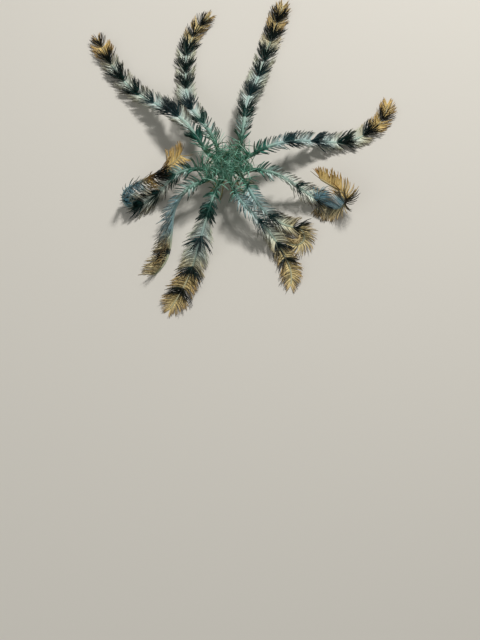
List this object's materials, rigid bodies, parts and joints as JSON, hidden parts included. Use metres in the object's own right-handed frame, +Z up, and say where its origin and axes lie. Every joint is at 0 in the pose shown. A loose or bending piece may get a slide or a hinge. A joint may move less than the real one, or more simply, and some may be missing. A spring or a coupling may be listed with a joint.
{
  "type": "feather star",
  "caption": "Banded green and yellow feather star with feathery arms spread over the floor round a small body on hooked legs.",
  "frame": {"origin": "on the floor, under the middle of the bounding box", "axes": "+Z up, the mouth side; -Y towards the viewer of the picture, +X to the viewer's right"},
  "size_m": [0.1566, 0.1802, 0.0229],
  "materials": {
    "disc": "wet soft skin, dark green with olive",
    "centrodorsal": "wet skin over a chalky knob",
    "ray": "wet skin, green bands",
    "arm_inner": "wet skin, dark green and pale teal bands",
    "arm_middle": "wet skin, black-green and pale blue-green bands",
    "arm_outer": "wet skin, black-green and pale bands with brown pinnule ends",
    "arm_tip": "wet skin, black and yellow-orange bands",
    "cirrus": "smooth jointed hooks, yellow-olive"
  },
  "bodies": {
    "root": {"disc": "disc", "centrodorsal": "centrodorsal", "ray_1": "ray", "ray_2": "ray", "ray_3": "ray", "ray_4": "ray", "ray_5": "ray", "arm_01_inner": "arm_inner", "arm_01_middle": "arm_middle", "arm_01_outer": "arm_outer", "arm_01_tip": "arm_tip", "arm_02_inner": "arm_inner", "arm_02_middle": "arm_middle", "arm_02_outer": "arm_outer", "arm_02_tip": "arm_tip", "arm_03_inner": "arm_inner", "arm_03_middle": "arm_middle", "arm_03_outer": "arm_outer", "arm_03_tip": "arm_tip", "arm_04_inner": "arm_inner", "arm_04_middle": "arm_middle", "arm_04_outer": "arm_outer", "arm_04_tip": "arm_tip", "arm_05_inner": "arm_inner", "arm_05_middle": "arm_middle", "arm_05_outer": "arm_outer", "arm_05_tip": "arm_tip", "arm_06_inner": "arm_inner", "arm_06_middle": "arm_middle", "arm_06_outer": "arm_outer", "arm_06_tip": "arm_tip", "arm_07_inner": "arm_inner", "arm_07_middle": "arm_middle", "arm_07_outer": "arm_outer", "arm_07_tip": "arm_tip", "arm_08_inner": "arm_inner", "arm_08_middle": "arm_middle", "arm_08_outer": "arm_outer", "arm_08_tip": "arm_tip", "arm_09_inner": "arm_inner", "arm_09_middle": "arm_middle", "arm_09_outer": "arm_outer", "arm_09_tip": "arm_tip", "arm_10_inner": "arm_inner", "arm_10_middle": "arm_middle", "arm_10_outer": "arm_outer", "arm_10_tip": "arm_tip", "cirrus_01": "cirrus", "cirrus_02": "cirrus", "cirrus_03": "cirrus", "cirrus_04": "cirrus", "cirrus_05": "cirrus", "cirrus_06": "cirrus", "cirrus_07": "cirrus", "cirrus_08": "cirrus", "cirrus_09": "cirrus", "cirrus_10": "cirrus", "cirrus_11": "cirrus", "cirrus_12": "cirrus"}
  },
  "joints": []
}
